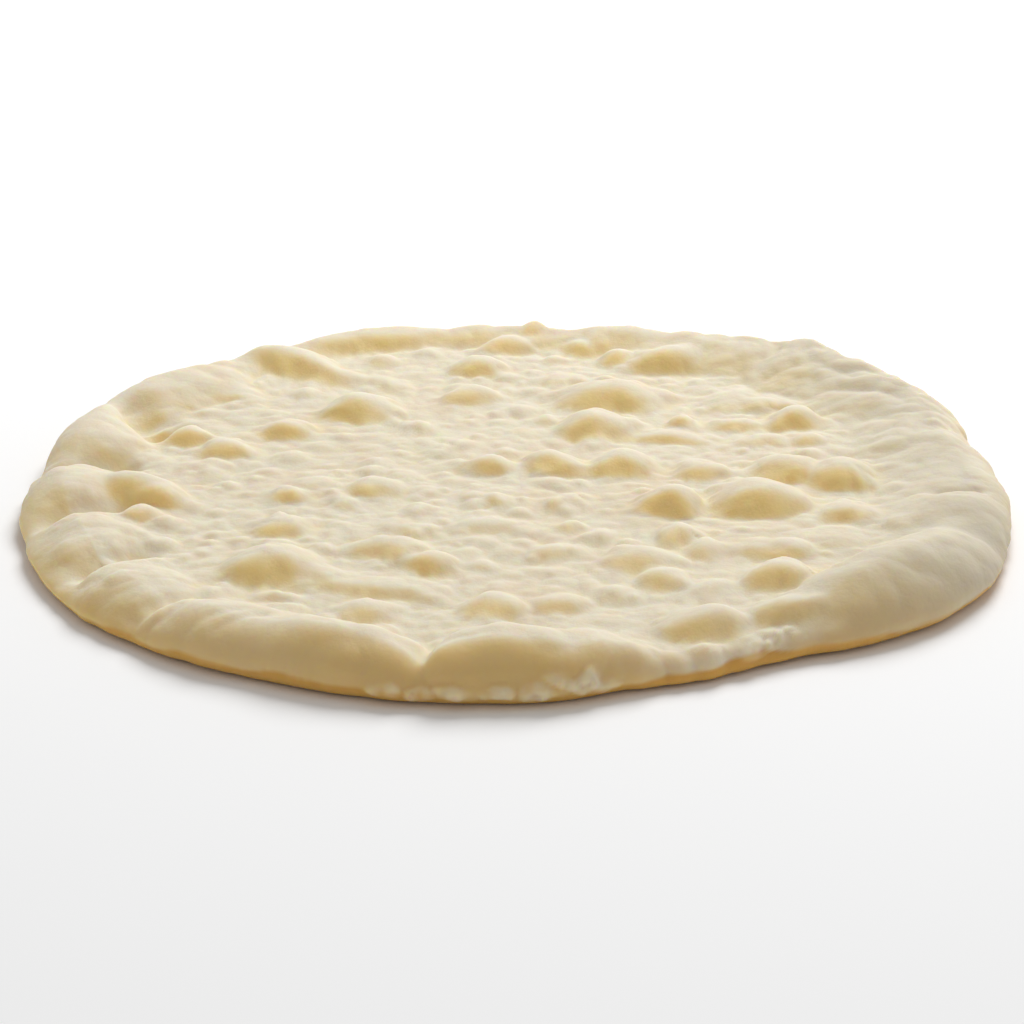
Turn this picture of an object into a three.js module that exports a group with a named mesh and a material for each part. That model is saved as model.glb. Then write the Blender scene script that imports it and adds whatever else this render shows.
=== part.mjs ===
// A par-baked pizza base: one round of dough, pressed thin in the middle, with a rolled, lumpy rim
// and a top that has puffed into blisters. It is one solid, flat underneath where it lay on the oven floor.
// Millimetres, +Z up. The origin is the middle of the underside, and -Y is the front.
import * as THREE from 'three';

// Driving dimensions
const RADIUS = 148.2; // mean, to the widest line of the rim
const SHEET = 7.5; // thickness of the dough between the blisters
const WAIST = 0.32; // height of the rim's widest line, as a share of the rim's own height
const TUCK = 4.4; // how far the rim's lower edge tucks in below the widest line
const UNDER_REACH = 6; // over which the underside curls up from the table to that lower edge
const THIN_ANGLE = 293; // the stretch of the front edge that stayed thin, in degrees
const THIN_SPREAD = 11;

// The outline's slow waves: how many round the edge, swing, angle of a crest in degrees
const OUTLINE_WAVES = [
  { count: 3, swing: 1.0, crest: 25 },
  { count: 4, swing: 2.3, crest: 45 },
];

// Where the outline bulges or is nicked in. Here and in the other lists of swells: angle, change,
// half-width in degrees
const OUTLINE_SWELLS = [
  [5, -1.6, 12],
  [12, -2.6, 5],
  [23, 1.0, 5],
  [108, 3.0, 15],
  [152, 1.5, 12],
  [174, -1.0, 3.5],
  [188, 1.0, 6],
  [237, -1.5, 14],
  [260.7, -0.6, 2],
  [281, -3.2, 5],
  [294, -9.0, 13],
  [302, -3.0, 7],
  [312, -2.5, 11],
  [330, 1.5, 9],
  [357, -0.8, 2.5],
];

// How far in from the edge the rim turns over
const CREST_INSET = 12;
const CREST_SWELLS = [
  [50, -5, 24],
  [100, -7, 26],
  [168, -2, 10],
  [205, 3, 16],
  [260.7, -4.5, 3],
  [264, -2.5, 20],
  [279, -2.5, 6],
  [THIN_ANGLE, -7, THIN_SPREAD],
  [322, 3.5, 14],
];

// How flat the rim's outer face is: 1 is an ellipse, 2 a straight slope
const ROLL_POWER = 1.2;
const ROLL_SWELLS = [
  [206, 0.4, 18],
  [322, 0.15, 14],
];

// How far the lower edge curls up off the table
const EDGE_LIFT = 0.3;
const LIFT_SWELLS = [
  [235, 0.2, 16],
  [262, -0.1, 8],
  [302, 0.2, 8],
  [312, 0.2, 14],
];

// The low ridge that joins the lumps of the rim: its rise above the sheet, and how far it slopes inwards
const RIDGE_RISE = 3.4;
const RIDGE_SWELLS = [
  [5, 2.4, 24],
  [48, 4.6, 24],
  [88, 0.6, 14],
  [140, 0.6, 16],
  [160, 2.6, 7],
  [187, 0.6, 8],
  [245, 1.6, 12],
  [260.7, -1.6, 4],
  [THIN_ANGLE, -3.6, THIN_SPREAD],
];
const RIDGE_SLOPE = 17;
const SLOPE_SWELLS = [
  [25, 16, 45],
  [110, -8, 35],
  [165, -6, 16],
  [205, 4, 20],
];

// Lumps of the rolled rim: angle in degrees, distance in from the edge, half-length along the rim,
// half-width across it, rise above the sheet, fall
const RIM_LUMPS = [
  // the front: two rolls with a cleft between them, then the big smooth bulge past the thin edge
  [236, 11, 26, 13, 6.0, 0.8],
  [250, 11, 28, 14, 8.0, 0.6],
  [269, 11, 21.5, 14, 9.2, 0.45],
  [276, 11, 19, 14, 6.2, 0.6],
  [322, 15, 44, 18, 11.4, 0.8],
  // the broad right side
  [344, 13, 30, 28, 6.6, 1.3],
  [9, 8, 34, 34, 6.6, 1.3],
  [29, 6, 28, 36, 8.2, 1.3],
  [45, 6, 26, 34, 8.6, 1.3],
  // the back, with a small tip
  [61, 5, 26, 28, 6.0, 1.3],
  [76, 5, 24, 18, 6.8, 1.2],
  [87.5, 5, 6.5, 7, 7.2, 1.2],
  [94, 5, 13, 9, 4.0, 0.8],
  [111, 7, 33, 8, 5.8, 0.5],
  // the folded left side
  [144, 11, 33, 21, 6.8, 0.8],
  [167, 10, 24, 18, 6.8, 0.9],
  [185.5, 11, 22, 20, 6.2, 0.8],
  [203.5, 13, 24, 18, 4.8, 0.8],
  [220.5, 13, 20, 17, 4.0, 0.8],
];

// Folds of the top, steep in front: x, y, half-length, front width, back width, height, turn in degrees
const FOLDS = [
  [-113, -14, 22, 9, 12, 6.6, -28],
  [-92, 77, 14, 4, 10, 2.4, -58],
  [-76, 106, 32, 7.5, 14, 7.0, -33],
  [-53, -81, 10, 4, 8, 4.0, -40],
  [-42, -89, 27, 4, 14, 2.8, -14],
  [47, 34, 16, 4, 9, 2.4, -12],
  [50, -115, 15, 6, 12, 6.2, 14],
  [73, -107, 17, 5.2, 11, 6.0, 14],
  [76, 66, 22, 4, 12, 1.8, -5],
  [100, 98, 18, 5, 12, 2.6, 5],
  [108, 80, 26, 4, 12, 2.2, 8],
  [118, 60, 20, 4, 12, 2.0, 12],
];

// Blisters of the top: x, y, half-width, half-depth, height, turn in degrees
const BLISTERS = [
  // back left
  [-50, 62, 13.5, 12, 7.0],
  [-72, 43, 9.5, 9, 4.6],
  [-89.5, 24, 8.5, 8, 4.2],
  [-102, 35, 7.5, 8, 5.0, 20],
  [-14.5, 77, 9.5, 9, 4.6],
  [-13, 107, 9, 9, 4.6],
  [-6, 9, 7, 7, 4.0],
  // front left
  [-66.5, -71, 14, 13, 6.8],
  [-67.5, -41, 7.5, 8, 4.6],
  [-66, -15, 7, 6.5, 3.6],
  [-41.5, -10, 7.5, 7.5, 3.8],
  [-35, -59, 10.5, 9, 4.6, -8],
  [-23.5, -70, 7, 7.5, 4.8, -20],
  [-7, -101, 9, 8, 5.0],
  [-40, -103, 8, 6.5, 3.4],
  [-10, -42, 12, 6, 2.2],
  // front right
  [45, -24, 9.5, 10, 7.2],
  [72, -20, 14.5, 13, 7.4],
  [96.5, -30, 9.5, 8, 3.4],
  [46.5, -47, 6.5, 6.5, 4.2],
  [34.5, -66, 11.5, 10, 4.6],
  [39.5, -81, 7, 7, 4.2],
  [71.5, -79, 10, 10, 6.2],
  [72.5, -58, 11.5, 8, 2.6],
  [14.5, -20, 7, 6.5, 2.6],
  [11, -59, 7.5, 6, 2.4],
  [12, -98, 7.5, 6.5, 3.4],
  // back right
  [31, 75, 18, 14, 7.0],
  [25, 45, 12.5, 12, 7.0],
  [12, 10, 9.5, 9, 5.2],
  [32, 10, 10, 10, 5.8],
  [56, 6, 8, 8, 3.6],
  [82, 5, 11, 10, 5.4],
  [98, 0, 11, 12, 6.4],
  [34, 115, 6.5, 7, 5.2],
  [53, 112, 16, 11, 7.0, 25],
  [88.5, 51, 10, 9.5, 5.0],
  [70.5, 48, 9.5, 6.5, 2.8],
  [70, 74, 7, 15, 3.0, -25],
  [-2, 129, 8.5, 7, 5.0],
  [22.5, 127, 8, 6, 4.6],
  [14, 95, 9, 6.5, 2.0],
  [97, 96, 14, 9, 2.6],
  [113, 106, 9, 8, 2.6],
  [97, 123, 8, 7, 2.6],
];

// Grooves between the lumps of the left side and in the cleft: from x, y to x, y,
// half-width on the left and on the right of that line, depth
const GROOVES = [
  [-124, 58, -113, 42, 8, 5, 5.5],
  [-140, 4, -119, 8, 7, 4, 5.6],
  [-134, -37, -115, -28, 6.5, 4, 5.0],
  [-118, -76, -104, -64, 7, 4, 4.8],
  [-100, -107, -84, -97, 5, 4, 2.8],
  [-23.5, -141, -22.5, -122, 4, 4, 1.0],
];
const GROOVE_RUN_IN = 12; // distance in from the edge over which a groove reaches its depth

// How round the forms are: below 1 a dome has a steep foot, above 1 its foot flares into the sheet
const FOLD_FALL = 1.1;
const BLISTER_FALL = 1.3;
const SLOPE_FALL = 1.5;
const BLISTER_FULLNESS = 2.2; // how flat a blister is from front to back: 2 is a plain dome
const FLARE_LONG = 1.16; // how far a blister's foot runs out sideways, in half-widths
const FLARE_FRONT = 0.86; // how far it runs out in front of the crest and behind it, in half-depths
const FLARE_BACK = 1.26;
const CREST_FORWARD = 0.2; // how far a blister's crest lies in front of its middle, in half-depths
const UNION_POWER = 6; // how closely two neighbouring domes keep their own shapes where they meet

// Mesh density: rings of the top, of the rim's outer shoulder, of the skirt below its widest line,
// and of the curl under the edge
const TOP_RINGS = 29;
const SHOULDER_RINGS = 4;
const SKIRT_RINGS = 3;
const UNDER_RINGS = 2;
const WAIST_RING = TOP_RINGS + SHOULDER_RINGS;
const LOW_RING = WAIST_RING + SKIRT_RINGS;
const RINGS = LOW_RING + UNDER_RINGS;

const radians = THREE.MathUtils.degToRad;
const clamp = THREE.MathUtils.clamp;
const square = (value) => value * value;

// The turn from a middle, in degrees, to an angle, the short way round
function turnFrom(angle, middle) {
  return THREE.MathUtils.euclideanModulo(angle - radians(middle) + Math.PI, 2 * Math.PI) - Math.PI;
}

// A size that changes round the edge: a plain value, plus smooth bells
function swelling(angle, plain, swells) {
  let size = plain;
  for (const [middle, change, spread] of swells) {
    size += change * Math.exp(-square(turnFrom(angle, middle) / radians(spread)));
  }
  return size;
}

// Distance from the middle to the widest line of the rim
function edgeRadius(angle) {
  let radius = swelling(angle, RADIUS, OUTLINE_SWELLS);
  for (const { count, swing, crest } of OUTLINE_WAVES) {
    radius += swing * Math.cos(count * (angle - radians(crest)));
  }
  return radius;
}

// How far in from the edge the rim turns over
function crestInset(angle) {
  return swelling(angle, CREST_INSET, CREST_SWELLS);
}

// Rise of the ridge: full out to the edge, falling to nothing along its inner slope
function ridgeRise(angle, inset) {
  const rise = Math.max(0, swelling(angle, RIDGE_RISE, RIDGE_SWELLS));
  const slope = swelling(angle, RIDGE_SLOPE, SLOPE_SWELLS);
  const inward = clamp((inset - crestInset(angle)) / slope, 0, 1);
  return rise * Math.pow(1 - square(inward), SLOPE_FALL);
}

// Rise of one dome at an offset from its middle
function domeRise(along, across, halfLength, halfWidth, height, fall, fullness = 2) {
  const away = square(along / halfLength) + Math.pow(Math.abs(across / halfWidth), fullness);
  return height * Math.pow(Math.max(0, 1 - away), fall);
}

// An offset seen along and across a direction that is turned from x
function turned(x, y, turn) {
  const c = Math.cos(radians(turn));
  const s = Math.sin(radians(turn));
  return [x * c + y * s, y * c - x * s];
}

// Depth of one groove, which falls off smoothly to either side of its line and past its ends
function grooveDepth(x, y, [startX, startY, endX, endY, leftWidth, rightWidth, depth]) {
  const [runX, runY] = [endX - startX, endY - startY];
  const length = Math.hypot(runX, runY);
  const along = ((x - startX) * runX + (y - startY) * runY) / length;
  const toLeft = (runX * (y - startY) - runY * (x - startX)) / length;
  const past = Math.max(0, -along, along - length) / ((leftWidth + rightWidth) / 2);
  return depth * Math.exp(-square(toLeft / (toLeft > 0 ? leftWidth : rightWidth)) - square(past));
}

// Joins rises so that the highest leads and the valley between two is rounded
function softUnion(rises) {
  const sum = rises.reduce((total, rise) => total + Math.pow(rise, UNION_POWER), 0);
  return Math.pow(sum, 1 / UNION_POWER);
}

// Height of the top above the table, before the rim's edge is rounded off
function topHeight(angle, inset) {
  const radius = edgeRadius(angle) - inset;
  const x = radius * Math.cos(angle);
  const y = radius * Math.sin(angle);
  const rises = [ridgeRise(angle, inset)];
  for (const [middle, crest, halfLength, halfWidth, height, fall] of RIM_LUMPS) {
    const along = turnFrom(angle, middle) * RADIUS;
    rises.push(domeRise(along, Math.max(0, inset - crest), halfLength, halfWidth, height, fall));
  }
  for (const [middleX, middleY, halfLength, frontWidth, backWidth, height, turn] of FOLDS) {
    const [along, across] = turned(x - middleX, y - middleY, turn);
    rises.push(domeRise(along, across, halfLength, across < 0 ? frontWidth : backWidth, height, FOLD_FALL));
  }
  for (const [middleX, middleY, halfWidth, halfDepth, height, turn = 0] of BLISTERS) {
    const [along, fromMiddle] = turned(x - middleX, y - middleY, turn);
    const across = fromMiddle + CREST_FORWARD * halfDepth;
    const halfLength = FLARE_LONG * halfWidth;
    const reach = halfDepth * (across < 0 ? FLARE_FRONT : FLARE_BACK);
    rises.push(domeRise(along, across, halfLength, reach, height, BLISTER_FALL, BLISTER_FULLNESS));
  }
  const grooved = GROOVES.reduce((total, groove) => total + grooveDepth(x, y, groove), 0);
  return SHEET + softUnion(rises) - grooved * clamp(inset / GROOVE_RUN_IN, 0, 1);
}

// A point of the surface: rings run out over the top, round the shoulder, down the skirt, in under the edge
function surfacePoint(ring, angle) {
  const edge = edgeRadius(angle);
  const crest = crestInset(angle);
  const waist = WAIST * topHeight(angle, crest);
  const lift = swelling(angle, EDGE_LIFT, LIFT_SWELLS);
  let inset;
  let height;
  if (ring <= TOP_RINGS) {
    inset = edge - (edge - crest) * (ring / TOP_RINGS);
    height = topHeight(angle, inset);
  } else if (ring <= WAIST_RING) {
    const turn = ((ring - TOP_RINGS) / SHOULDER_RINGS) * (Math.PI / 2);
    const roll = swelling(angle, ROLL_POWER, ROLL_SWELLS);
    inset = crest * (1 - Math.pow(Math.sin(turn), roll));
    height = waist + (topHeight(angle, inset) - waist) * Math.pow(Math.max(0, Math.cos(turn)), roll);
  } else if (ring <= LOW_RING) {
    const turn = ((ring - WAIST_RING) / SKIRT_RINGS) * (Math.PI / 2);
    inset = TUCK * (1 - Math.cos(turn));
    height = lift + (waist - lift) * (1 - Math.sin(turn));
  } else {
    const under = (ring - LOW_RING) / UNDER_RINGS;
    inset = TUCK + UNDER_REACH * under;
    height = lift * square(1 - under);
  }
  return new THREE.Vector3((edge - inset) * Math.cos(angle), (edge - inset) * Math.sin(angle), height);
}

// The angle at which a cell corner of a square sheet lies once the sheet is bent into a disc
function discAngle(i, j) {
  if (i === 0 && j === 0) return 0;
  if (Math.abs(i) >= Math.abs(j)) return (Math.PI / 4) * (j / i) + (i < 0 ? Math.PI : 0);
  return Math.PI / 2 - (Math.PI / 4) * (i / j) + (j < 0 ? Math.PI : 0);
}

// A square sheet of cells whose square rings become the rings of the surface, closed by a flat underside
function doughGeometry() {
  const across = 2 * RINGS + 1;
  const corner = (i, j) => (j + RINGS) * across + i + RINGS;
  const positions = [];
  const faces = [];
  for (let j = -RINGS; j <= RINGS; j++) {
    for (let i = -RINGS; i <= RINGS; i++) {
      const ring = Math.max(Math.abs(i), Math.abs(j));
      positions.push(...surfacePoint(ring, discAngle(i, j)).toArray());
    }
  }
  for (let j = -RINGS; j < RINGS; j++) {
    for (let i = -RINGS; i < RINGS; i++) {
      const [a, b, c, d] = [corner(i, j), corner(i + 1, j), corner(i + 1, j + 1), corner(i, j + 1)];
      // the cut across a cell runs outwards, so that no sliver lies along the sheet's own corners
      if (i < 0 === j < 0) faces.push(a, b, c, a, c, d);
      else faces.push(a, b, d, b, c, d);
    }
  }
  const middle = positions.length / 3;
  positions.push(0, 0, 0);
  for (let step = -RINGS; step < RINGS; step++) {
    faces.push(middle, corner(RINGS, step + 1), corner(RINGS, step));
    faces.push(middle, corner(-step - 1, RINGS), corner(-step, RINGS));
    faces.push(middle, corner(-RINGS, -step - 1), corner(-RINGS, -step));
    faces.push(middle, corner(step + 1, -RINGS), corner(step, -RINGS));
  }
  const geometry = new THREE.BufferGeometry();
  geometry.setAttribute('position', new THREE.Float32BufferAttribute(positions, 3));
  geometry.setIndex(faces);
  const box = new THREE.Box3().setFromBufferAttribute(geometry.getAttribute('position'));
  const centre = box.getCenter(new THREE.Vector3());
  geometry.translate(-centre.x, -centre.y, 0);
  geometry.computeVertexNormals();
  return geometry;
}

const dough = new THREE.MeshStandardMaterial({ color: 0xe2d5b0, roughness: 0.8, metalness: 0 });

const pizzaBase = new THREE.Mesh(doughGeometry(), dough);
pizzaBase.name = 'pizza_base';

const part = new THREE.Group();
part.add(pizzaBase);

export default part;
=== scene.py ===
import itertools
import math

import bpy
import numpy as np
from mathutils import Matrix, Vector


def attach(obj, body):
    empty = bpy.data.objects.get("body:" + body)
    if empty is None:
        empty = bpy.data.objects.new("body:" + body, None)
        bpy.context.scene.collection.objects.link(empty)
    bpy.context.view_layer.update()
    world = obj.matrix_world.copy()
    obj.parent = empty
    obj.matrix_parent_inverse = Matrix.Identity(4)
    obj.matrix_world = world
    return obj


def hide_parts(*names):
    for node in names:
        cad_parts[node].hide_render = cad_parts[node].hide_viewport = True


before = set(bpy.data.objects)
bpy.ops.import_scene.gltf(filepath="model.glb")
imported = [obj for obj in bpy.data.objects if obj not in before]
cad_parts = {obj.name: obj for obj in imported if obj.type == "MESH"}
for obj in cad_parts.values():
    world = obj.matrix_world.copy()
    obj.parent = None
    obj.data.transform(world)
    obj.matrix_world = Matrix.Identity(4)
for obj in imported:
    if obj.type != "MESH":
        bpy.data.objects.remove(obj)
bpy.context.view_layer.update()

# The pizza base: one round of yeast dough, pressed out thin by hand with its edge left thick, rolled over
# in places, and baked until just set. It is a single piece, so all of this section makes one closed skin.
# It is worked out in millimetres on a square sheet of cells, bent into a disc, and stored in metres.
MM = 0.001
RADIUS = 148.2  # mean, to the widest line of the rim
SHEET = 7.5  # thickness of the dough between the blisters
WAIST = 0.32  # height of the rim's widest line, as a share of the rim's own height
TUCK = 4.4  # how far the rim's lower edge tucks in below the widest line
UNDER_REACH = 6.0  # over which the baked underside curls up from the table to that lower edge
THIN_ANGLE, THIN_SPREAD = 293.0, 11.0  # the stretch of the front edge that stayed thin

# slow waves of the outline: how many round the edge, swing, angle of a crest in degrees
OUTLINE_WAVES = [(3, 1.0, 25), (4, 2.3, 45)]

# where the edge bulges out or is nicked in: angle, reach, half-width in degrees
OUTLINE_BULGES = [
    (5, -1.6, 12), (12, -2.6, 5), (23, 1.0, 5), (108, 3.0, 15), (152, 1.5, 12), (174, -1.0, 3.5),
    (188, 1.0, 6), (237, -1.5, 14), (260.7, -0.6, 2), (281, -3.2, 5), (294, -9.0, 13),
    (302, -3.0, 7), (312, -2.5, 11), (330, 1.5, 9), (357, -0.8, 2.5),
]

# how far in from the edge the rim turns over, and where that is further in or out: angle, shift, half-width
CREST_INSET = 12.0
CREST_SHIFTS = [
    (THIN_ANGLE, -7.0, THIN_SPREAD), (260.7, -4.5, 3), (279, -2.5, 6), (322, 3.5, 14),
    (264, -2.5, 20), (205, 3.0, 16), (168, -2.0, 10), (100, -7.0, 26), (50, -5.0, 24),
]

# how flat the rim's outer face is: 1 is an ellipse, 2 a straight slope
ROLL_POWER = 1.2
ROLL_SWELLS = [(206, 0.4, 18), (322, 0.15, 14)]

# how far the lower edge curls up off the table
EDGE_LIFT = 0.3
LIFT_SWELLS = [(235, 0.2, 16), (302, 0.2, 8), (312, 0.2, 14), (262, -0.1, 8)]

# the low ridge that joins the lumps: how far it rises above the sheet and slopes inwards
# and where these swell: angle, swell, half-width
RIDGE_RISE, RIDGE_SLOPE = 3.4, 17.0
RIDGE_SWELLS = [
    (48, 4.6, 24), (5, 2.4, 24), (88, 0.6, 14), (140, 0.6, 16), (160, 2.6, 7), (187, 0.6, 8),
    (245, 1.6, 12), (260.7, -1.6, 4), (THIN_ANGLE, -3.6, THIN_SPREAD),
]
SLOPE_SWELLS = [(25, 16.0, 45), (110, -8.0, 35), (165, -6.0, 16), (205, 4.0, 20)]

# lumps of the rim: angle in degrees, distance in from the edge, half-length, half-width, rise, fall
RIM_LUMPS = [
    # front: the two rolls beside the cleft
    (250, 11, 28, 14, 8.0, 0.6), (236, 11, 26, 13, 6.0, 0.8), (269, 11, 21.5, 14, 9.2, 0.45),
    (276, 11, 19, 14, 6.2, 0.6),
    # right: the big bulge, and the broad rim behind it
    (322, 15, 44, 18, 11.4, 0.8), (344, 13, 30, 28, 6.6, 1.3), (9, 8, 34, 34, 6.6, 1.3),
    (29, 6, 28, 36, 8.2, 1.3), (45, 6, 26, 34, 8.6, 1.3),
    # back
    (61, 5, 26, 28, 6.0, 1.3), (76, 5, 24, 18, 6.8, 1.2), (87.5, 5, 6.5, 7, 7.2, 1.2),
    (94, 5, 13, 9, 4.0, 0.8), (111, 7, 33, 8, 5.8, 0.5), (144, 11, 33, 21, 6.8, 0.8),
    # left: the pillows
    (167, 10, 24, 18, 6.8, 0.9), (185.5, 11, 22, 20, 6.2, 0.8), (203.5, 13, 24, 18, 4.8, 0.8),
    (220.5, 13, 20, 17, 4.0, 0.8),
]

# folds, with a steep front and a gentle back: x, y, half-length, front width, back width, height
# and turn in degrees
FOLDS = [
    (-76, 106, 32, 7.5, 14, 7.0, -33), (-44, 90, 13, 3.5, 8, 2.0, -35),
    (-92, 77, 14, 3.5, 10, 2.4, -58), (-42, -89, 27, 2.8, 14, 2.8, -14),
    (-53, -81, 10, 4, 8, 4.0, -40), (47, 34, 16, 3.2, 9, 2.4, -12), (108, 80, 26, 4, 12, 2.2, 8),
    (100, 98, 18, 5, 12, 2.6, 5), (118, 60, 20, 4, 12, 2.0, 12), (76, 66, 22, 4, 12, 1.8, -5),
    (-113, -14, 22, 9, 12, 6.6, -28), (50, -115, 15, 6, 12, 6.2, 14),
    (73, -107, 17, 5.2, 11, 6.0, 14),
]

# blisters of the top: x, y, half-width, half-depth, height, turn in degrees
BLISTERS = [
    # back left
    (-50, 62, 13.5, 12, 7.0, 0), (-72, 43, 9.5, 9, 4.6, 0), (-89.5, 24, 8.5, 8, 4.2, 0),
    (-102, 35, 7.5, 8, 5.0, 20), (-14.5, 77, 9.5, 9, 4.6, 0), (-13, 107, 9, 9, 4.6, 0),
    (-6, 9, 7, 7, 4.0, 0),
    # left
    (-109, -31, 6, 6, 3.8, 0),
    # front left
    (-66.5, -71, 14, 13, 6.8, 0), (-67.5, -41, 7.5, 8, 4.6, 0), (-66, -15, 7, 6.5, 3.6, 0),
    (-41.5, -10, 7.5, 7.5, 3.8, 0), (-35, -59, 10.5, 9, 4.6, -8), (-23.5, -70, 7, 7.5, 4.8, -20),
    (-29, -42, 7, 5, 2.4, 0), (-7, -101, 9, 8, 5.0, 0), (-40, -103, 8, 6.5, 3.4, 0),
    (-10, -42, 12, 6, 2.2, 0),
    # front right
    (45, -24, 9.5, 10, 7.2, 0), (72, -20, 14.5, 13, 7.4, 0), (96.5, -30, 9.5, 8, 3.4, 0),
    (46.5, -47, 6.5, 6.5, 4.2, 0), (34.5, -66, 11.5, 10, 4.6, 0), (39.5, -81, 7, 7, 4.2, 0),
    (71.5, -79, 10, 10, 6.2, 0), (72.5, -58, 11.5, 8, 2.6, 0), (14.5, -20, 7, 6.5, 2.6, 0),
    (11, -59, 7.5, 6, 2.4, 0), (12, -98, 7.5, 6.5, 3.4, 0),
    # back right
    (31, 75, 18, 14, 7.0, 0), (25, 45, 12.5, 12, 7.0, 0), (12, 10, 9.5, 9, 5.2, 0),
    (32, 10, 10, 10, 5.8, 0), (56, 6, 8, 8, 3.6, 0), (82, 5, 11, 10, 5.4, 0),
    (98, 0, 11, 12, 6.4, 0), (34, 115, 6.5, 7, 5.2, 0), (53, 112, 16, 11, 7.0, 25),
    (88.5, 51, 10, 9.5, 5.0, 0), (70.5, 48, 9.5, 6.5, 2.8, 0), (70, 74, 7, 15, 3.0, -25),
    (77, 32, 9, 5, 2.2, 0), (-2, 129, 8.5, 7, 5.0, 0), (22.5, 127, 8, 6, 4.6, 0),
    (14, 95, 9, 6.5, 2.0, 0), (97, 96, 14, 9, 2.6, 0), (113, 106, 9, 8, 2.6, 0),
    (97, 123, 8, 7, 2.6, 0),
    # small ones
    (-60, -7, 5.5, 5, 2.4, 0), (-51, -22, 4, 3.5, 1.6, 0), (-27, -12, 4.5, 4, 1.4, 0),
    (-6, -20, 4.5, 4, 2.4, 0), (-65, -91, 6, 4, 2.0, 0), (-12.5, -59, 3.5, 3, 1.4, 0),
    (-9, -72, 4, 3.5, 1.8, 0), (-1.5, 22, 4, 4, 2.0, 0), (-46, 114, 6, 6, 2.6, 0),
    (-28, 45, 5, 4, 1.8, 0), (9.5, 56, 4, 4, 2.0, 0), (53.5, 49, 4.5, 5, 3.2, 0),
    (91, 31, 5.5, 5, 2.6, 0), (15, -42, 5, 5, 3.0, 0), (52, -59, 6.5, 6, 2.8, 0),
    (-106, -49, 4.5, 4, 2.2, 0), (-99, -86, 4, 4, 2.6, 0), (-99.5, -67, 4.5, 3.5, 1.8, 0),
    (-125, 18, 4.5, 4, 2.4, 0), (-113, 48, 4.5, 4, 2.0, 0), (88, -49, 10, 8, 1.6, 0),
    (27, -90, 9, 7, 1.4, 0), (56, -86, 11, 5, 1.6, 0), (120, 31, 12, 6, 2.2, 8),
    (-60, 30, 4, 4, 1.2, 0), (-47, 28, 4, 4, 1.1, 0), (-18, 10, 4, 4, 1.2, 0),
    (-92, 7, 5, 8, 1.4, 25), (25, -47, 4, 4, 1.4, 0), (14, 115, 5, 6, 1.4, 0),
]

# grooves between the lumps and creases in the skin: from x, y to x, y, half-width on the left
# and on the right of that line, depth
CREASES = [
    # between the pillows of the left
    (-124, 58, -113, 42, 8, 5, 5.5), (-140, 4, -119, 8, 7, 2.6, 5.6),
    (-134, -37, -115, -28, 6.5, 2.8, 5.0), (-118, -76, -104, -64, 7, 2.6, 4.8),
    # front left, down to the cleft
    (-100, -107, -84, -97, 5, 2.0, 2.8), (-86, -119, -73, -114, 2.4, 1.8, 0.9),
    (-77, -121, -66, -116, 2.4, 1.8, 0.8), (-93, -111, -80, -100, 2.2, 1.8, 0.7),
    (-23.5, -141, -22.5, -122, 4.0, 3.0, 1.0),
    # beside the blisters and in the rim of the right
    (98, -6, 102, -20, 1.6, 1.6, 0.5), (102, -4, 107, -17, 1.6, 1.6, 0.5),
    (106, -4, 112, -13, 1.6, 1.6, 0.4), (124, -25.5, 134, -23.5, 2.6, 2.0, 1.8),
    (124, 25, 140, 38, 4.0, 3.0, 1.2), (87, 102, 89, 119, 2.6, 2.6, 1.2),
    # right end of the front roll
    (34, -122, 38, -134, 2.0, 2.0, 0.8),
]

# how round the forms are: the larger a fall, the more a dome's foot flares into the sheet
FOLD_FALL, BLISTER_FALL, SLOPE_FALL = 1.1, 1.3, 1.5
BLISTER_FULLNESS = 2.2  # how flat a blister is from front to back: 2 is a round dome
FLARE_LONG, FLARE_FRONT, FLARE_BACK = 1.16, 0.86, 1.26  # how far its foot runs out on each side
CREST_FORWARD = 0.2  # how far a blister's crest lies in front of its middle, in half-depths
UNION_POWER = 6.0  # the higher, the sharper the valleys where two forms meet


def turn_from(angle, middle):
    """The turn from a middle, in degrees, to an angle, in radians, the short way round."""
    return (angle - math.radians(middle) + math.pi) % (2 * math.pi) - math.pi


def bell(angle, middle, spread):
    """A smooth hump of height 1 round a middle angle: e to the minus square of the turn over the spread."""
    return np.exp(-(turn_from(angle, middle) / math.radians(spread)) ** 2)


def edge_radius(angle):
    """Distance from the middle to the rim's widest line: a circle, plus cosine waves, plus bells."""
    radius = RADIUS + np.zeros_like(angle)
    for count, swing, crest in OUTLINE_WAVES:
        radius += swing * np.cos(count * (angle - math.radians(crest)))
    for middle, reach, spread in OUTLINE_BULGES:
        radius += reach * bell(angle, middle, spread)
    return radius


def swelling(angle, plain, swells):
    """A size that changes round the edge: a plain value, plus bells."""
    return plain + sum(swell * bell(angle, middle, spread) for middle, swell, spread in swells)


def ridge_rise(angle, inset):
    """Rise of the ridge under the lumps: full out to the edge, and inwards of its crest
    (1 - share of the slope squared) to a power."""
    slope = swelling(angle, RIDGE_SLOPE, SLOPE_SWELLS)
    inward = np.clip((inset - swelling(angle, CREST_INSET, CREST_SHIFTS)) / slope, 0, 1)
    return swelling(angle, RIDGE_RISE, RIDGE_SWELLS).clip(0) * (1 - inward**2) ** SLOPE_FALL


def dome_rise(along, across, half_length, half_width, height, fall, fullness=2.0):
    """A dome: height times (1 - share of the half-length squared - share of the half-width to a power) to a
    power, and nothing outside. With an inner power of 2 its outline is an ellipse."""
    away = (along / half_length) ** 2 + np.abs(across / half_width) ** fullness
    return height * np.clip(1 - away, 0, None) ** fall


def turned(x, y, turn):
    """Coordinates along and across a direction that is turned from x by some degrees."""
    c, s = math.cos(math.radians(turn)), math.sin(math.radians(turn))
    return x * c + y * s, y * c - x * s


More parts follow.
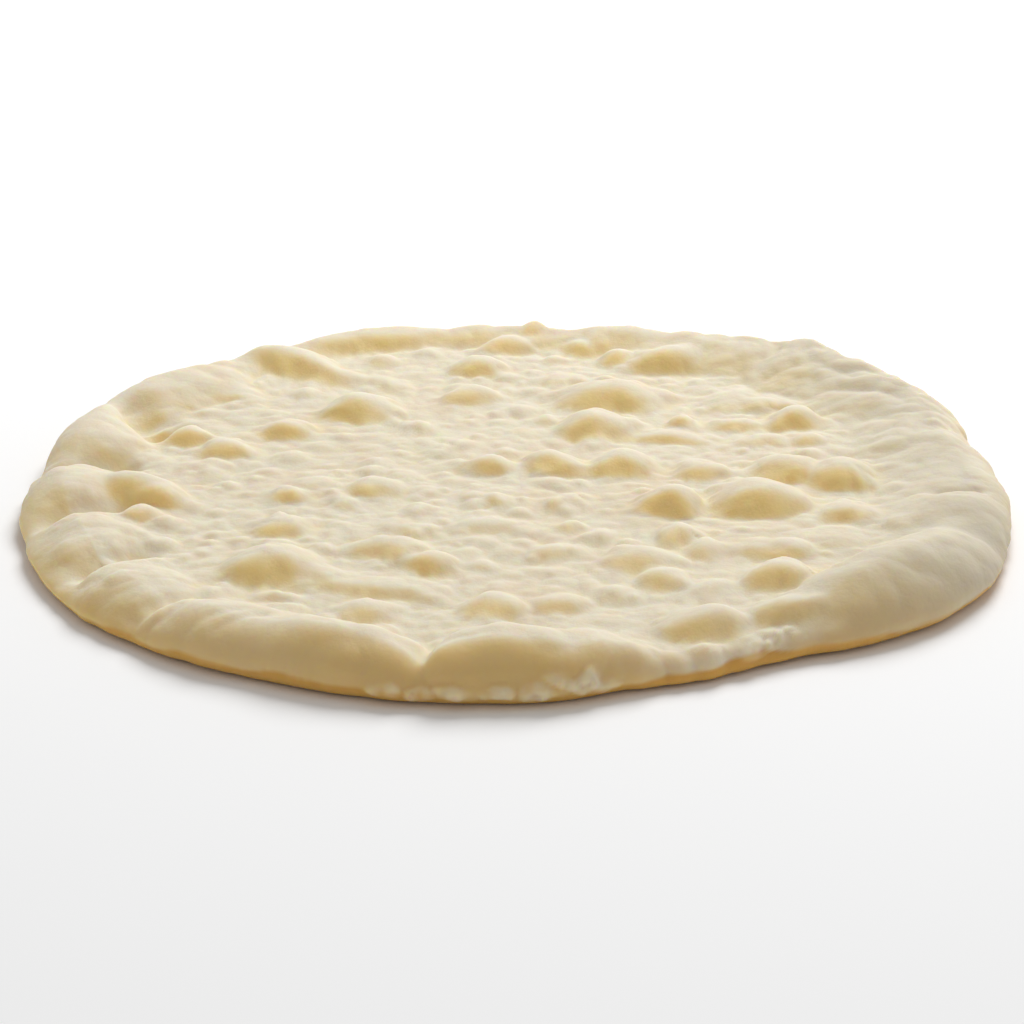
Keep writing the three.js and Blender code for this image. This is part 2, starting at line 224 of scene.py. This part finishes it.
def crease_depth(x, y, start_x, start_y, end_x, end_y, left_width, right_width, depth):
    """A groove along a straight line: depth times e to the minus squares of the distance across it,
    in half-widths of that side, and of the distance past its ends, in mean half-widths."""
    run_x, run_y = end_x - start_x, end_y - start_y
    length = math.hypot(run_x, run_y)
    along = ((x - start_x) * run_x + (y - start_y) * run_y) / length
    to_left = (run_x * (y - start_y) - run_y * (x - start_x)) / length
    past = np.maximum(np.maximum(-along, along - length), 0) * 2 / (left_width + right_width)
    return depth * np.exp(-((to_left / np.where(to_left > 0, left_width, right_width)) ** 2) - past**2)


def lattice_noise(points, size, seed):
    """Noise from about -1 to 1: every corner of a cubic lattice has a random slope, and the eight slopes
    round a point are blended by a smooth step, 6 t^5 - 15 t^4 + 10 t^3."""
    span = 32  # cells before it repeats
    gain = 1.6  # brings its peaks near 1
    slopes = np.random.default_rng(seed).normal(size=(span, span, span, 3))
    slopes /= np.linalg.norm(slopes, axis=-1, keepdims=True)
    cell = np.floor(points / size).astype(int)
    part = points / size - cell
    blend = part**3 * (part * (6 * part - 15) + 10)
    total = np.zeros(points.shape[:-1])
    for corner in itertools.product((0, 1), repeat=3):
        weight = np.prod(np.where(corner, blend, 1 - blend), axis=-1)
        slope = slopes[tuple(np.moveaxis((cell + corner) % span, -1, 0))]
        total += weight * np.sum(slope * (part - corner), axis=-1)
    return gain * total


# how far the outlines of lumps and blisters stray from true ellipses: a distance, over a length
WANDERS = [(2.2, 17.0), (1.0, 7.5)]
WANDER_SEED_X, WANDER_SEED_Y = 21, 22


def puff(angle, inset):
    """Rise of the top above the sheet: the soft union, a root of a sum of powers, of the ridge, the lumps,
    the folds and the blisters. The last three are bent out of true by a slow noise."""
    radius = edge_radius(angle) - inset
    flat = np.stack([radius * np.cos(angle), radius * np.sin(angle), np.zeros_like(angle)], axis=-1)
    x = flat[..., 0] + sum(reach * lattice_noise(flat, size, WANDER_SEED_X) for reach, size in WANDERS)
    y = flat[..., 1] + sum(reach * lattice_noise(flat, size, WANDER_SEED_Y) for reach, size in WANDERS)
    total = ridge_rise(angle, inset) ** UNION_POWER
    angle, inset = np.arctan2(y, x), inset + radius - np.hypot(x, y)
    for middle, crest, half_length, half_width, rise, fall in RIM_LUMPS:
        along = turn_from(angle, middle) * RADIUS
        inward = np.maximum(inset - crest, 0)
        total += dome_rise(along, inward, half_length, half_width, rise, fall) ** UNION_POWER
    for mid_x, mid_y, half_length, front_width, back_width, height, turn in FOLDS:
        along, across = turned(x - mid_x, y - mid_y, turn)
        half_width = np.where(across < 0, front_width, back_width)
        total += dome_rise(along, across, half_length, half_width, height, FOLD_FALL) ** UNION_POWER
    for mid_x, mid_y, half_width, half_depth, height, turn in BLISTERS:
        along, across = turned(x - mid_x, y - mid_y, turn)
        across = across + CREST_FORWARD * half_depth
        foot = half_depth * np.where(across < 0, FLARE_FRONT, FLARE_BACK)
        side = FLARE_LONG * half_width
        total += dome_rise(along, across, side, foot, height, BLISTER_FALL, BLISTER_FULLNESS) ** UNION_POWER
    return total ** (1 / UNION_POWER)


BUBBLE_LEAST, BUBBLE_SPREAD = 0.2, 0.6  # smallest radius, and how much larger the largest is, in cells
BUBBLE_FALL = 1.5


def bubbles(x, y, size, seed):
    """Small round bubbles, one at a random place in each cell of a square lattice, each with its own radius
    and lift: the highest of some domes, (1 - share of the radius squared) to a power."""
    span = 64  # cells before they repeat
    draws = np.random.default_rng(seed).uniform(size=(span, span, 4))
    column, row = np.floor(x / size).astype(int), np.floor(y / size).astype(int)
    rise = np.zeros_like(x)
    for step_x, step_y in itertools.product((-1, 0, 1), repeat=2):
        i, j = column + step_x, row + step_y
        place_x, place_y, width, lift = np.moveaxis(draws[i % span, j % span], -1, 0)
        radius = size * (BUBBLE_LEAST + BUBBLE_SPREAD * width**2)
        away = (x - (i + place_x) * size) ** 2 + (y - (j + place_y) * size) ** 2
        rise = np.maximum(rise, radius * lift * np.clip(1 - away / radius**2, 0, None) ** BUBBLE_FALL)
    return rise


def puffs(points, layers):
    """Puffs that meet in creases: the sum of the sizes of some noises, each with its height and length."""
    return sum(height * np.abs(lattice_noise(points, size, seed)) for height, size, seed in layers)


# relief of the skin, in layers: height, length, seed of the noise
SWELL_HEIGHT, SWELL_SIZE, SWELL_SEED = 0.7, 26.0, 11
SWELL_PUFFS = [(1.1, 15.0, 18)]
PUCKERS = [(0.7, 8.0, 12), (0.3, 4.2, 13)]
DRAPES = [(2.6, 16.0, 19), (1.0, 7.5, 20)]

# small bubbles between the blisters: share of a half ball's height, spacing, seed
BUBBLES = [(0.34, 9.0, 14), (0.18, 5.5, 15)]

# a risen form is stretched, so it loses most of its puckers, but less so on top of the front left rim
STRETCHED_RISE, STRETCH_LOSS = 5.0, 0.75
RUCKED_ANGLE, RUCKED_SPREAD, RUCKED_SHARE, RUCKED_INSET = 210, 26, 0.6, 15.0

# loose drapes of the broad rim at the back right: where, how far in they end, and how slowly they fade
DRAPE_ANGLE, DRAPE_SPREAD = 35, 42
DRAPE_END, DRAPE_FADE = 72.0, 60.0

# wrinkles across the rim, in patches: height, how far in they reach, length, number to a radian of the edge
WRINKLE_HEIGHT, WRINKLE_REACH, WRINKLE_LENGTH, WRINKLES_PER_RADIAN = 0.6, 34.0, 9.0, 46
WRINKLE_SEED = 17
PATCH_SIZE, PATCH_SHARE, PATCH_SEED = 30.0, 0.25, 16


def skin_relief(points, risen, angle, inset):
    """How far the skin lies above the smooth form: slow swells, puckers and small bubbles where the dough
    is slack, drapes at the back right, and wrinkles across the rim, a noise squeezed along the edge."""
    swell = SWELL_HEIGHT * lattice_noise(points, SWELL_SIZE, SWELL_SEED) + puffs(points, SWELL_PUFFS)
    rucked = RUCKED_SHARE * bell(angle, RUCKED_ANGLE, RUCKED_SPREAD) * np.clip(inset / RUCKED_INSET, 0, 1)
    slack = 1 - STRETCH_LOSS * np.clip(risen / STRETCHED_RISE, 0, 1) * (1 - rucked)
    x, y = points[..., 0], points[..., 1]
    spots = sum(share * bubbles(x, y, size, seed) for share, size, seed in BUBBLES)
    draped = bell(angle, DRAPE_ANGLE, DRAPE_SPREAD) * np.clip((DRAPE_END - inset) / DRAPE_FADE, 0, 1)
    edge_run = WRINKLES_PER_RADIAN * np.stack([np.cos(angle), np.sin(angle)], axis=-1)
    strips = np.concatenate([edge_run, inset[..., None] / WRINKLE_LENGTH], axis=-1)
    patches = np.clip(lattice_noise(points, PATCH_SIZE, PATCH_SEED) + PATCH_SHARE, 0, 1)
    near_edge = np.clip(1 - inset / WRINKLE_REACH, 0, 1)
    wrinkle = near_edge * patches * puffs(strips, [(WRINKLE_HEIGHT, 1.0, WRINKLE_SEED)])
    return swell + slack * (puffs(points, PUCKERS) + spots) + wrinkle + draped * puffs(points, DRAPES)


# shreds of crumb, where the front of the rim tore open low down: angle, height, half-length, half-height
# and slope
SHREDS = [
    (256.8, 4.2, 6.0, 2.2, 0.0), (260.5, 3.8, 4.5, 2.0, 0.0), (264.0, 4.4, 7.0, 2.5, -0.1),
    (268.0, 4.6, 6.0, 2.2, 0.0), (272.0, 4.8, 5.5, 3.6, 0.0), (274.9, 6.4, 7.0, 2.2, -0.4),
    (278.0, 4.2, 7.0, 2.2, 0.0), (277.3, 7.0, 3.6, 2.4, 0.0), (298.5, 6.0, 11.0, 1.9, 0.1),
]
SHRED_REACH = 2.0  # how far they stand out
SHRED_FALL = 0.9
CRUMB_LEAST = 0.5  # share of that reach in the clefts of the crumb
CRUMB_PUFFS = [(1.0, 3.0, 24)]
STRAY, STRAY_SIZE, STRAY_SEED = 1.8, 5.0, 26  # how far they stray along the edge, and over what length
STRAY_UP = 0.5  # how far they stray upwards, as a share of that
FRAY_MEAN, FRAY_SWING = 0.75, 0.6  # share of a shred that is torn, and how it varies
FRAY_SIZE, FRAY_SEED = 3.2, 27


def torn_share(points, angle, height):
    """How much of the skin is torn: the largest of some domes along the edge, bent and frayed by noise."""
    stray = STRAY * lattice_noise(points, STRAY_SIZE, STRAY_SEED)
    frayed = np.clip(FRAY_MEAN + FRAY_SWING * lattice_noise(points, FRAY_SIZE, FRAY_SEED), 0, 1)
    share = np.zeros_like(angle)
    for middle, level, half_length, half_height, slope in SHREDS:
        along = turn_from(angle, middle) * RADIUS
        above = height - level - slope * along + STRAY_UP * stray
        shred = dome_rise(along + stray, above, half_length, half_height, 1.0, SHRED_FALL)
        share = np.maximum(share, shred)
    return share * frayed


def blurred(field, rounds):
    """Evens a grid out: each round takes the mean of a corner of the cells and its four neighbours."""
    for _ in range(rounds):
        padded = np.pad(field, 1, mode="edge")
        field = (field + padded[2:, 1:-1] + padded[:-2, 1:-1] + padded[1:-1, 2:] + padded[1:-1, :-2]) / 5
    return field


LEAST_NORMAL = 1e-9  # keeps a point with no area from dividing by nothing


def facing(points):
    """Unit normals of a grid of points: the cross product of its two directions, over its length."""
    across = np.cross(np.gradient(points, axis=1), np.gradient(points, axis=0))
    return across / np.maximum(np.linalg.norm(across, axis=-1, keepdims=True), LEAST_NORMAL)


# the square sheet of cells, and the angle of each corner once the sheet is bent into a disc
# its rings, from the middle out: top, shoulder down to the widest line, skirt below it, underside's edge
TOP_RINGS, SHOULDER_RINGS, SKIRT_RINGS, UNDER_RINGS = 122, 20, 8, 6
WAIST_RING = TOP_RINGS + SHOULDER_RINGS
LOW_RING = WAIST_RING + SKIRT_RINGS
RINGS = LOW_RING + UNDER_RINGS
steps = np.arange(-RINGS, RINGS + 1, dtype=float)
sheet_i, sheet_j = np.meshgrid(steps, steps)
ring = np.maximum(np.abs(sheet_i), np.abs(sheet_j))
wide = np.abs(sheet_i) >= np.abs(sheet_j)
ratio_i = sheet_j / np.where(sheet_i == 0, 1, sheet_i)
ratio_j = sheet_i / np.where(sheet_j == 0, 1, sheet_j)
angle = np.where(
    wide,
    math.pi / 4 * ratio_i + math.pi * (sheet_i < 0),
    math.pi / 2 - math.pi / 4 * ratio_j + math.pi * (sheet_j < 0),
)

# the smooth form: how far in from the edge and how high each corner lies
FORM_BLUR = 3  # rounds that soften the valleys
edge = edge_radius(angle)
crest = swelling(angle, CREST_INSET, CREST_SHIFTS)
roll = swelling(angle, ROLL_POWER, ROLL_SWELLS)
lift = swelling(angle, EDGE_LIFT, LIFT_SWELLS)
shoulder_turn = math.pi / 2 * np.clip((ring - TOP_RINGS) / SHOULDER_RINGS, 0, 1)
skirt_turn = math.pi / 2 * np.clip((ring - WAIST_RING) / SKIRT_RINGS, 0, 1)
under = np.clip((ring - LOW_RING) / UNDER_RINGS, 0, 1)
on_shoulder = crest * (1 - np.sin(shoulder_turn) ** roll)
inset = np.where(ring <= TOP_RINGS, edge - (edge - crest) * ring / TOP_RINGS, on_shoulder)
inset = np.where(ring > WAIST_RING, TUCK * (1 - np.cos(skirt_turn)) + UNDER_REACH * under, inset)
risen = blurred(puff(angle, inset), FORM_BLUR)
waist = WAIST * (SHEET + puff(angle, crest))
height = waist + (SHEET + risen - waist) * np.cos(shoulder_turn).clip(0) ** roll
below = (lift + (waist - lift) * (1 - np.sin(skirt_turn))) * (1 - under) ** 2
height = np.where(ring > WAIST_RING, below, height)
form = np.stack([(edge - inset) * np.cos(angle), (edge - inset) * np.sin(angle), height], axis=-1)

# the skin: the form pushed out along its evened normals by the relief, which dies away towards the table
RELIEF_FULL = 4.0  # height from which the relief is full
CREASE_AT_EDGE, CREASE_FADE = 0.3, 12.0  # share of a crease's depth at the edge, and how slowly it grows
PUSH_BLUR = 8
above_table = np.clip(height / RELIEF_FULL, 0, 1)
relief = skin_relief(form, risen, angle, inset) * above_table
creased = sum(crease_depth(form[..., 0], form[..., 1], *crease) for crease in CREASES)
relief -= creased * np.clip(CREASE_AT_EDGE + inset / CREASE_FADE, 0, 1) * above_table
torn = torn_share(form, angle, height) * (ring > TOP_RINGS) * (ring < LOW_RING)
relief += SHRED_REACH * torn * (CRUMB_LEAST + puffs(form, CRUMB_PUFFS)) * above_table
push = np.stack([blurred(part, PUSH_BLUR) for part in np.moveaxis(facing(form), -1, 0)], axis=-1)
skin = form + push * relief[..., None]

# the middle of the outline's box becomes the origin
OUTLINE_STEPS = 3600
outline = np.linspace(0, 2 * math.pi, OUTLINE_STEPS)
outline_xy = edge_radius(outline) * np.stack([np.cos(outline), np.sin(outline)])
centre = np.append((outline_xy.max(axis=1) + outline_xy.min(axis=1)) / 2, 0.0)
skin = skin - centre

# bumps are paler, partly flour and partly painted highlight, and dips more yellow as painted shade: height
# of the skin above its surroundings
SURROUNDINGS_BLUR = 14
lifted = (skin[..., 2] - blurred(skin[..., 2], SURROUNDINGS_BLUR)) * (1 - torn)

# the baked crust of the underside shows as a golden line along the bottom, taller below the thin edge
GOLD_LINE, GOLD_FADE = 3.0, 1.0
GOLD_SWELLS = [(248, 1.7, 20), (270, -0.8, 9), (298, 2.7, 13), (328, 0.4, 14)]
GOLD_WAVER, GOLD_WAVER_SIZE, GOLD_WAVER_SEED = 0.35, 14.0, 25
GOLD_TORN_LOSS = 0.8
waver = 1 + GOLD_WAVER * lattice_noise(form * [1, 1, 0], GOLD_WAVER_SIZE, GOLD_WAVER_SEED)
gold_top = swelling(angle, GOLD_LINE, GOLD_SWELLS) * waver
baked = np.clip((gold_top - skin[..., 2]) / GOLD_FADE + 0.5, 0, 1) * (1 - GOLD_TORN_LOSS * torn)

# where the painted shade lies on the outer face of the rim it takes a darker crust tone than on the flanks
# of the blisters, least on the left
FLANK_ONSET = 1.6  # the larger, the earlier the face is reached on the way down the shoulder
CRUST_SHADE_SWELLS = [(195, -0.6, 30)]
flank = np.clip(FLANK_ONSET * (ring - TOP_RINGS) / SHOULDER_RINGS, 0, 1)
crust_in_shade = flank * swelling(angle, 1.0, CRUST_SHADE_SWELLS)

# painted shade: the thick rim on the right is painted darker and greyer, on top, fading inwards, and on its
# face
RIGHT_SHADE_TOP = 0.68
RIGHT_SHADE_TOP_SWELLS = [(330, RIGHT_SHADE_TOP, 34), (30, RIGHT_SHADE_TOP, 34)]
RIGHT_SHADE_END, RIGHT_SHADE_FADE = 58.5, 45.0
RIGHT_SHADE_FACE_SWELLS = [(322, 0.55, 24), (339, 0.7, 12)]
right_shade_inward = np.clip((RIGHT_SHADE_END - inset) / RIGHT_SHADE_FADE, 0, 1)
right_shade = swelling(angle, 0.0, RIGHT_SHADE_TOP_SWELLS).clip(0, RIGHT_SHADE_TOP) * right_shade_inward * (1 - flank)
right_shade += flank * swelling(angle, 0.0, RIGHT_SHADE_FACE_SWELLS)

# torn crumb, the thin lip and the face at the front left are pale with flour
PALE_SWELLS = [(THIN_ANGLE, 0.8, THIN_SPREAD), (240, 0.35, 18)]
pale = np.maximum(torn, flank * swelling(angle, 0.0, PALE_SWELLS))

# painted shade: slopes are painted yellow, most where they face the front and a little to the left, away
# from the lamp, and on the big bulge
SLOPE_SHADE_TOWARDS = np.array([-0.3, -0.95])
SLOPE_SHADE_ALL_ROUND = 0.35
SLOPE_SHADE_BULGE = [(326, 0.25, 16)]
SLOPE_SHADE_BULGE_REACH = 45.0
SLOPE_SHADE_PALE_LOSS = 0.6
SLOPE_SHADE_BLUR = 3
lean = ((facing(form) + facing(skin)) / 2)[..., :2]
slope_shade = np.maximum(lean @ SLOPE_SHADE_TOWARDS, SLOPE_SHADE_ALL_ROUND * np.linalg.norm(lean, axis=-1))
slope_shade *= 1 + swelling(angle, 0.0, SLOPE_SHADE_BULGE) * np.sqrt(np.clip(1 - inset / SLOPE_SHADE_BULGE_REACH, 0, 1))
slope_shade = blurred(slope_shade * (1 - SLOPE_SHADE_PALE_LOSS * pale), SLOPE_SHADE_BLUR)

# one closed mesh: the cells of the sheet, and its hem as the flat underside
across = 2 * RINGS + 1
corner = (np.arange(across - 1)[:, None] * across + np.arange(across - 1)).ravel()
cells = np.stack([corner, corner + 1, corner + across + 1, corner + across], axis=-1)
side = np.arange(across - 1)
hem = np.concatenate([side, side * across + across - 1, across**2 - 1 - side, (across - 1 - side) * across])

base_mesh = bpy.data.meshes.new("pizza_base_skin")
base_mesh.from_pydata((skin.reshape(-1, 3) * MM).tolist(), [], cells.tolist() + [hem[::-1].tolist()])
base_mesh.shade_smooth()
pizza_base = bpy.data.objects.new("pizza_base_skin", base_mesh)
bpy.context.collection.objects.link(pizza_base)

fields = {"slope_shade": slope_shade, "lifted": lifted, "baked": baked, "pale": pale, "crust_in_shade": crust_in_shade, "right_shade": right_shade}
for name, values in fields.items():
    field = base_mesh.attributes.new(name, "FLOAT", "POINT")
    field.data.foreach_set("value", values.ravel().astype(np.float32))

# the dough: soft and matt, with light that sinks in and comes out warmer, and washes of colour over cream,
# some of them painted shade and highlight
dough = bpy.data.materials.new("par_baked_dough")
dough.use_nodes = True
nodes, links = dough.node_tree.nodes, dough.node_tree.links
shader = nodes["Principled BSDF"]


def attribute(name):
    """The value of one of the skin's own attributes."""
    node = nodes.new("ShaderNodeAttribute")
    node.attribute_name = name
    return node.outputs["Fac"]


def ramp(value, low, high, share):
    """A smooth step from 0, where a value is low, to a share, where it is high."""
    node = nodes.new("ShaderNodeMapRange")
    node.interpolation_type = "SMOOTHSTEP"
    links.new(value, node.inputs["Value"])
    node.inputs["From Min"].default_value = low
    node.inputs["From Max"].default_value = high
    node.inputs["To Max"].default_value = share
    return node.outputs["Result"]


def grain(scale, detail):
    """Noise over the object's own coordinates, with a number of cells to the metre and of finer octaves."""
    place = nodes.new("ShaderNodeTexCoord")
    node = nodes.new("ShaderNodeTexNoise")
    node.inputs["Scale"].default_value = scale
    node.inputs["Detail"].default_value = detail
    links.new(place.outputs["Object"], node.inputs["Vector"])
    return node.outputs["Fac"]


def tint(under, over, share):
    """One colour or colour output over another, by a share."""
    node = nodes.new("ShaderNodeMix")
    node.data_type = "RGBA"
    links.new(share, node.inputs["Factor"])
    for socket, colour in ((node.inputs[6], under), (node.inputs[7], over)):
        if isinstance(colour, tuple):
            socket.default_value = (*colour, 1.0)
        else:
            links.new(colour, socket)
    return node.outputs[2]


# the yellow, the crust tone and the grey below are painted shade, and the flour white is also painted
# highlight on bumps
CREAM = (0.73, 0.66, 0.50)
BLUSH = (0.72, 0.59, 0.42)
SHADE_YELLOW = (0.90, 0.70, 0.315)
CRUST_SHADE = (0.71, 0.505, 0.215)
FLOUR_AND_SHEEN = (0.78, 0.73, 0.60)
GOLDEN = (0.64, 0.365, 0.095)
SHADE_GREY = (0.56, 0.50, 0.385)
shaded_slope_colour = tint(SHADE_YELLOW, CRUST_SHADE, attribute("crust_in_shade"))

# blotches of blush on the cream: cells to the metre, noise where they start and where full, share
BLOTCHES = [(38.0, 0.5, 0.72, 0.6), (110.0, 0.48, 0.7, 0.5), (330.0, 0.5, 0.68, 0.45)]
BLOTCH_DETAIL = 3.0

# washes over that, in order: colour, attribute that places it, where it starts and where full, share
# of these, the yellow in dips, the colour on slopes and the grey on the right are painted shade, and the
# white on bumps is flour and painted highlight
WASHES = [
    (SHADE_YELLOW, "lifted", -0.1, -0.7, 0.25),
    (FLOUR_AND_SHEEN, "lifted", 0.1, 0.7, 0.5),
    (shaded_slope_colour, "slope_shade", 0.1, 0.66, 1.0),
    (FLOUR_AND_SHEEN, "pale", 0.1, 0.8, 0.4),
    (SHADE_GREY, "right_shade", 0.0, 1.0, 0.85),
]
colour = CREAM
for scale, low, high, share in BLOTCHES:
    colour = tint(colour, BLUSH, ramp(grain(scale, BLOTCH_DETAIL), low, high, share))
for wash, name, low, high, share in WASHES:
    colour = tint(colour, wash, ramp(attribute(name), low, high, share))
colour = tint(colour, GOLDEN, attribute("baked"))
links.new(colour, shader.inputs["Base Color"])
shader.inputs["Roughness"].default_value = 0.75
shader.inputs["Specular IOR Level"].default_value = 0.25
shader.inputs["Subsurface Weight"].default_value = 0.8
shader.inputs["Subsurface Radius"].default_value = (1.0, 0.6, 0.15)
shader.inputs["Subsurface Scale"].default_value = 0.0055
PORES, PORE_DETAIL = 700.0, 4.0  # fine pores: cells to the metre, and finer octaves
bump = nodes.new("ShaderNodeBump")
bump.inputs["Strength"].default_value = 0.25
bump.inputs["Distance"].default_value = 0.0006
links.new(grain(PORES, PORE_DETAIL), bump.inputs["Height"])
links.new(bump.outputs["Normal"], shader.inputs["Normal"])
base_mesh.materials.append(dough)

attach(pizza_base, "root")
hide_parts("pizza_base")

# The table: a plain white sweep that the base lies on, large enough to fill the view.
TABLE_HALF = 6.0
table_mesh = bpy.data.meshes.new("table")
table_corners = TABLE_HALF * np.array([(-1, -1, 0), (1, -1, 0), (1, 1, 0), (-1, 1, 0)])
table_mesh.from_pydata(table_corners.tolist(), [], [(0, 1, 2, 3)])
table = bpy.data.objects.new("table", table_mesh)
bpy.context.collection.objects.link(table)
paper = bpy.data.materials.new("white_sweep")
paper.use_nodes = True
paper_shader = paper.node_tree.nodes["Principled BSDF"]
paper_shader.inputs["Base Color"].default_value = (0.97, 0.97, 0.97, 1.0)
paper_shader.inputs["Roughness"].default_value = 0.9
paper_shader.inputs["Specular IOR Level"].default_value = 0.0
table_mesh.materials.append(paper)

# Light: one large soft lamp high behind the base on the right, and an even white room.
LAMP_PLACE = (0.38, 0.98, 1.22)
lamp_data = bpy.data.lights.new("back_lamp", "AREA")
lamp_data.shape = "DISK"
lamp_data.size = 1.0
lamp_data.energy = 22.0
lamp = bpy.data.objects.new("back_lamp", lamp_data)
lamp.location = LAMP_PLACE
lamp.rotation_euler = (-Vector(LAMP_PLACE)).to_track_quat("-Z", "Y").to_euler()
bpy.context.collection.objects.link(lamp)
room = bpy.data.worlds.new("room")
room.use_nodes = True
room_light = room.node_tree.nodes["Background"].inputs
room_light["Color"].default_value = (1.0, 1.0, 1.0, 1.0)
room_light["Strength"].default_value = 0.44
scene = bpy.context.scene
scene.world = room
scene.view_settings.view_transform = "Standard"

# Camera: in front of the base and a little above it, as the photograph looks down on it.
CAMERA_DISTANCE = 0.8
CAMERA_ELEVATION = math.radians(20.9)
CAMERA_LENS = 94.15
AIM = np.array([-1.3, -7.4, 0.0])
camera_data = bpy.data.cameras.new("camera")
camera_data.sensor_width = 36.0
camera_data.lens = CAMERA_LENS
camera = bpy.data.objects.new("camera", camera_data)
back_off = CAMERA_DISTANCE * np.array([0.0, -math.cos(CAMERA_ELEVATION), math.sin(CAMERA_ELEVATION)])
camera.location = (AIM - centre) * MM + back_off
camera.rotation_euler = (math.pi / 2 - CAMERA_ELEVATION, 0.0, 0.0)
bpy.context.collection.objects.link(camera)
scene.camera = camera
